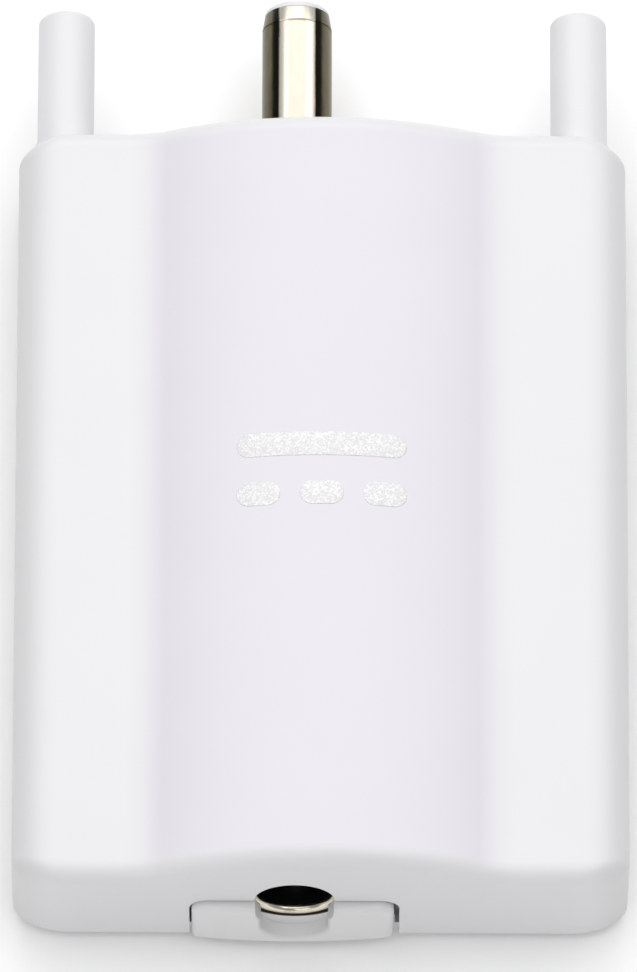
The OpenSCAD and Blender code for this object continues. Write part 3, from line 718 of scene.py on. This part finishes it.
def plan_face(bm, inset):
    """Flat plan of the case with round corners, drawn in from its outline."""
    half = CASE_HALF - inset
    low = JACK_END + inset
    high = PLUG_END - inset
    corners = [bm.verts.new(place) for place in
               ((-half, low, 0), (half, low, 0), (half, high, 0), (-half, high, 0))]
    bm.faces.new(corners)
    round_corner(bm, corners, max(CORNER_R - inset, INNER_R), BEND_STEPS)
    bm.faces.ensure_lookup_table()
    return bm.faces[0]


def cover_plate():
    """Plate of the cover, and the step that its locating lip is cut from."""
    bm = bmesh.new()
    inset = CASE_HALF - cover_high.x
    top = raised(bm, plan_face(bm, inset), SEAM_Z)
    bmesh.ops.inset_region(bm, faces=[top], thickness=LIP_OUT - inset, use_even_offset=True)
    raised(bm, top, LIP_TOP - SEAM_Z)
    weld(bm)
    return bm


def cover_pocket():
    """Hollow inside the locating lip, which leaves the screw bosses standing."""
    bm = bmesh.new()
    raised(bm, plan_face(bm, LIP_OUT + LIP_T), LIP_TOP)
    weld(bm)
    pocket = as_object("pocket", shifted(bm, 0, 0, FLOOR_T))
    for x, y in screw_places():
        carve(pocket, shifted(upright(rod(BOSS_R, 0, 2 * LIP_TOP)), x, y, 0))
    bm = bmesh.new()
    bm.from_mesh(pocket.data)
    bpy.data.objects.remove(pocket)
    return bm


def cover_tongue():
    """Tongue that fills the notch under the jack: its front is bowed and its front edges are round."""
    half = NOTCH_HALF - TONGUE_GAP
    front = cover_low.y
    bm = notch_form(half, cover_high.z, NOTCH_R - TONGUE_GAP, front, JACK_END + WALL, SEAM_Z - CUT_CLEAR)
    for i in range(1, BOW_STEPS):
        cut_x = AXIS_X + half * (2 * i / BOW_STEPS - 1)
        bmesh.ops.bisect_plane(bm, geom=bm.verts[:] + bm.edges[:] + bm.faces[:], dist=WELD,
                               plane_co=(cut_x, 0, 0), plane_no=(1, 0, 0))
    face = {v for v in bm.verts if v.co.y < front + WELD}
    for vert in face:
        vert.co.y += TONGUE_BOW * ((vert.co.x - AXIS_X) / half) ** 2
    rim = [e for e in bm.edges if face.issuperset(e.verts) and e.calc_face_angle() > pi / 4]
    bmesh.ops.bevel(bm, geom=rim, offset=TONGUE_EDGE_R, offset_type="OFFSET", segments=FINE_STEPS,
                    profile=0.5, affect="EDGES", material=-1)
    weld(bm)
    return bm


def tongue_groove():
    """Groove in the tongue's face below the jack: its sides stand upright and its foot is round."""
    foot = GROOVE_FLOOR + GROOVE_R
    bm = flared_rod(GROOVE_R, GROOVE_EDGE_R, cover_low.y, JACK_END + MOUTH_LIP)
    upper = [v for v in bm.verts if v.co.z > WELD]
    bmesh.ops.translate(bm, verts=upper, vec=(0, 0, AXIS_Z - foot))
    return shifted(bm, AXIS_X, 0, foot)


def block(low, high):
    """A plain block between two corners."""
    bm = bmesh.new()
    bmesh.ops.create_cube(bm, size=1)
    bmesh.ops.scale(bm, verts=bm.verts, vec=Vector(high) - Vector(low))
    bmesh.ops.translate(bm, verts=bm.verts, vec=(Vector(low) + Vector(high)) / 2)
    return bm


def screw_places():
    """Middles of the four cover screws in plan."""
    low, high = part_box("cover_screws")
    return [(x, y) for x in (low.x + HEAD_R, high.x - HEAD_R) for y in (low.y + HEAD_R, high.y - HEAD_R)]


def board_supports(cover):
    """Posts under the board's screws and rests under its two ends."""
    board_low, board_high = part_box("circuit_board")
    screw_low, screw_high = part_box("board_screws")
    head_r = (screw_high.y - screw_low.y) / 2
    middle = screw_low.y + head_r
    for x in (screw_low.x + head_r, screw_high.x - head_r):
        carve(cover, shifted(upright(rod(POST_R, FLOOR_T / 2, board_low.z)), x, middle, 0), "UNION")
    rest_half = (board_high.x - board_low.x) / 4
    for y in (board_low.y + 2 * REST_W, board_high.y - 2 * REST_W):
        rest = block((-rest_half, y - REST_W / 2, FLOOR_T / 2), (rest_half, y + REST_W / 2, board_low.z))
        carve(cover, rest, "UNION")


def rear_cover(finish):
    cover = as_object("cover", cover_plate())
    carve(cover, cover_pocket())
    foot_half = NOTCH_HALF - TONGUE_GAP
    carve(cover, shifted(cover_tongue(), TONGUE_SHIFT, 0, 0), "UNION")
    carve(cover, block((AXIS_X - foot_half, JACK_END + WALL / 2, FLOOR_T / 2),
                       (AXIS_X + foot_half, JACK_END + LIP_OUT + LIP_T / 2, LIP_TOP - CUT_CLEAR)), "UNION")
    carve(cover, shifted(flared_rod(MOUTH_R, EDGE_R, cover_low.y, JACK_END + WALL), AXIS_X, 0, AXIS_Z))
    carve(cover, tongue_groove())
    carve(cover, shifted(rod(TONGUE_SEAT_R, JACK_END + MOUTH_LIP, JACK_END + 2 * WALL), AXIS_X, 0, AXIS_Z))
    board_supports(cover)
    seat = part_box("cover_screws")[0].z + HEAD_H
    for x, y in screw_places():
        carve(cover, shifted(upright(rod(SHANK_R + SHANK_GAP, -LIP_TOP, 2 * LIP_TOP)), x, y, 0))
        carve(cover, shifted(upright(flared_rod(HEAD_R + HEAD_GAP, EDGE_R, 0, seat)), x, y, 0))
    soften(cover)
    return finished(cover, finish, "cover_white", "rear_cover")


def screw_form():
    """One cover screw at the origin, head down: a low dome with a cross recess."""
    low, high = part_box("cover_screws")
    seat = low.z + HEAD_H
    bm = upright(lathe([
        (low.z, 0, 0), (low.z, HEAD_R, HEAD_EDGE_R), (seat, HEAD_R, TURNED_EDGE_R), (seat, SHANK_R, 0),
        (high.z - SHANK_R, SHANK_R, 0), (high.z, SHANK_R / 3, 0), (high.z, 0, 0)]))
    screw = as_object("screw", bm)
    for across, along in ((CROSS_W, CROSS_LEN), (CROSS_LEN, CROSS_W)):
        corner = Vector((across / 2, along / 2, CROSS_DEPTH))
        middle = Vector((0, 0, low.z))
        slot = block(middle - corner, middle + corner)
        deep = [v for v in slot.verts if v.co.z > low.z]
        bmesh.ops.scale(slot, verts=deep, vec=(CROSS_TAPER, CROSS_TAPER, 1))
        carve(screw, slot)
    mesh = screw.data
    bpy.data.objects.remove(screw)
    return mesh


def cover_screws(finish):
    form = screw_form()
    bm = bmesh.new()
    for x, y in screw_places():
        known = set(bm.verts)
        bm.from_mesh(form)
        bmesh.ops.translate(bm, verts=[v for v in bm.verts if v not in known], vec=(x, y, 0))
    bpy.data.meshes.remove(form)
    screws = as_object("cover_screw_set", bm)
    return finished(screws, finish, "zinc_steel", "cover_screws")


def crown_height(x):
    return CROWN_AXIS_Z + sqrt(CROWN_R ** 2 - x ** 2)


def mark_bar(x, y, length):
    """One round-ended bar of the mark, laid over the crown."""
    bm = bmesh.new()
    ends = (x - length / 2, x + length / 2)
    sides = (y - MARK_STROKE / 2, y + MARK_STROKE / 2)
    corners = [bm.verts.new((ends[i], sides[j], 0)) for i, j in ((0, 0), (1, 0), (1, 1), (0, 1))]
    bm.faces.new(corners)
    round_corner(bm, corners, MARK_STROKE / 2 * NEAR_FULL, BEND_STEPS)
    steps = round(length / MARK_STEP)
    for i in range(1, steps):
        bmesh.ops.bisect_plane(bm, geom=bm.verts[:] + bm.edges[:] + bm.faces[:], dist=WELD,
                               plane_co=(ends[0] + length * i / steps, 0, 0), plane_no=(1, 0, 0))
    for vert in bm.verts:
        vert.co.z = crown_height(vert.co.x) - MARK_T
    grown = bmesh.ops.extrude_face_region(bm, geom=bm.faces[:])["geom"]
    top = {v for v in grown if isinstance(v, bmesh.types.BMVert)}
    bmesh.ops.translate(bm, verts=list(top), vec=(0, 0, 2 * MARK_T))
    bmesh.ops.recalc_face_normals(bm, faces=bm.faces)
    rim = [e for e in bm.edges if top.issuperset(e.verts) and e.calc_face_angle() > pi / 4]
    bmesh.ops.bevel(bm, geom=rim, offset=MARK_T * NEAR_FULL, offset_type="OFFSET", segments=EDGE_STEPS,
                    profile=0.5, affect="EDGES", material=-1)
    mesh = bpy.data.meshes.new("bar")
    bm.to_mesh(mesh)
    bm.free()
    return mesh


def crown_mark(finish):
    """The generic sign for direct current: a bar over three dashes."""
    offset = (MARK_STROKE + MARK_GAP) / 2
    dash = (MARK_W - 2 * DASH_GAP) / 3
    bars = [mark_bar(0, MARK_Y + offset, MARK_W)]
    bars += [mark_bar(i * (dash + DASH_GAP), MARK_Y - offset, dash) for i in (-1, 0, 1)]
    bm = bmesh.new()
    for bar in bars:
        bm.from_mesh(bar)
        bpy.data.meshes.remove(bar)
    weld(bm)
    mark = as_object("crown_mark", bm)
    mark.data.materials.append(finish.material)
    mark.data.shade_smooth()
    mark.data.set_sharp_from_angle(angle=MARK_SHARP)
    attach(mark, BODY)
    return mark


def dress(finish, *nodes):
    """Gives solids that show as they are their finish."""
    for node in nodes:
        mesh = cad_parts[node].data
        mesh.materials.clear()
        mesh.materials.append(finish.material)


def softbox(name, size, power, place):
    """A square soft light that faces the object."""
    panel = bpy.data.lights.new(name, "AREA")
    panel.size = size
    panel.energy = power
    lamp = bpy.data.objects.new(name, panel)
    lamp.location = place
    lamp.rotation_euler = (-lamp.location).to_track_quat("-Z", "Y").to_euler()
    bpy.context.scene.collection.objects.link(lamp)


def studio():
    """Pale floor, soft overhead light and the camera."""
    bm = bmesh.new()
    bmesh.ops.create_grid(bm, x_segments=1, y_segments=1, size=FLOOR_HALF)
    floor = as_object("floor", bm)
    paper = Finish("floor_paper", {"Roughness": 0.9, "Specular IOR Level": 0.0})
    fibre = paper.noise(PAPER_FIBRE)
    paper.feed("Base Color", paper.mix(fibre, PAPER_DARK, PAPER_LIGHT))
    floor.data.materials.append(paper.material)

    world = bpy.data.worlds.new("studio")
    bpy.context.scene.world = world
    world.use_nodes = True
    surround = world.node_tree.nodes["Background"]
    surround.inputs["Color"].default_value = (1, 1, 1, 1)
    surround.inputs["Strength"].default_value = AMBIENT

    softbox("overhead", *OVERHEAD)
    softbox("fill", *FILL)
    softbox("back", *BACK)

    lens = bpy.data.cameras.new("camera")
    lens.sensor_width = SENSOR
    lens.lens = FOCAL_PIXELS * SENSOR / FRAME_PIXELS
    lens.clip_start, lens.clip_end = CAMERA_CLIP
    camera = bpy.data.objects.new("camera", lens)
    camera.location = CAMERA_PLACE
    camera.rotation_euler = Euler(CAMERA_TURN)
    bpy.context.scene.collection.objects.link(camera)
    bpy.context.scene.camera = camera
    bpy.context.scene.view_settings.view_transform = "Standard"


studio()

white_pin = moulded_white("pin_white", tint(224, 224, 226), tint(220, 220, 222), roughness=0.4)
nickel = plated("nickel", tint(226, 219, 203), tint(206, 197, 178), roughness=0.16)
brass = plated("contact_brass", tint(226, 200, 134), tint(190, 156, 92), roughness=0.22)
bronze = plated("spring_bronze", tint(214, 178, 128), tint(176, 138, 90), roughness=0.25)
zinc = plated("zinc_steel", tint(214, 215, 214), tint(180, 182, 184), roughness=0.25)
tin = plated("shield_tin", tint(220, 220, 216), tint(190, 190, 186), roughness=0.3)
can = plated("can_aluminium", tint(226, 226, 226), tint(200, 200, 202), roughness=0.25)
alloy = plated("shunt_metal", tint(150, 147, 144), tint(118, 115, 112), roughness=0.35)
black = dark_plastic("connector_black", tint(16, 16, 17), tint(9, 9, 10), roughness=0.16)
epoxy = dark_plastic("chip_black", tint(42, 42, 43), tint(30, 30, 31), roughness=0.5)
board = solder_mask()

front_shell(shell_white())
rear_cover(cover_white())
crown_mark(glitter())
for node in ("guide_pin_left", "guide_pin_right"):
    guide_pin(node, white_pin)
plug_sleeve(barrel_nickel())
plug_insulator(moulded_white("ring_white", tint(226, 226, 228), tint(216, 216, 219), roughness=0.3))
plug_inner_contact(brass)
jack_rim(nickel)
cover_screws(zinc)

dress(black, "plug_body", "jack_body")
dress(nickel, "plug_sleeve_tail", "jack_centre_pin", "jack_pin_tail")
dress(brass, "plug_contact_tail")
dress(bronze, "jack_sleeve_spring", "jack_spring_tail", "jack_switch_contact")
dress(zinc, "board_screws")
dress(board, "circuit_board", "radio_board")
dress(epoxy, "meter_chip", "regulator_chip", "surge_diode", "capacitor_base", "chip_resistors")
dress(alloy, "shunt_resistor")
dress(tin, "radio_shield", "clock_crystal")
dress(can, "input_capacitor")
ferrite = speckled("ferrite_grey", tint(132, 132, 135), tint(110, 110, 113), 0.4 * MM, roughness=0.5)
alumina = speckled("ceramic_white", tint(236, 234, 228), tint(222, 219, 211), 0.3 * MM, roughness=0.45)
titanate = speckled("ceramic_tan", tint(203, 184, 157), tint(186, 166, 138), 0.25 * MM, roughness=0.4)
fuse_body = speckled("fuse_olive", tint(148, 152, 116), tint(128, 132, 98), 0.3 * MM, roughness=0.45)
dress(ferrite, "power_inductor")
dress(alumina, "chip_antenna")
dress(titanate, "ceramic_capacitors")
dress(fuse_body, "input_fuse")
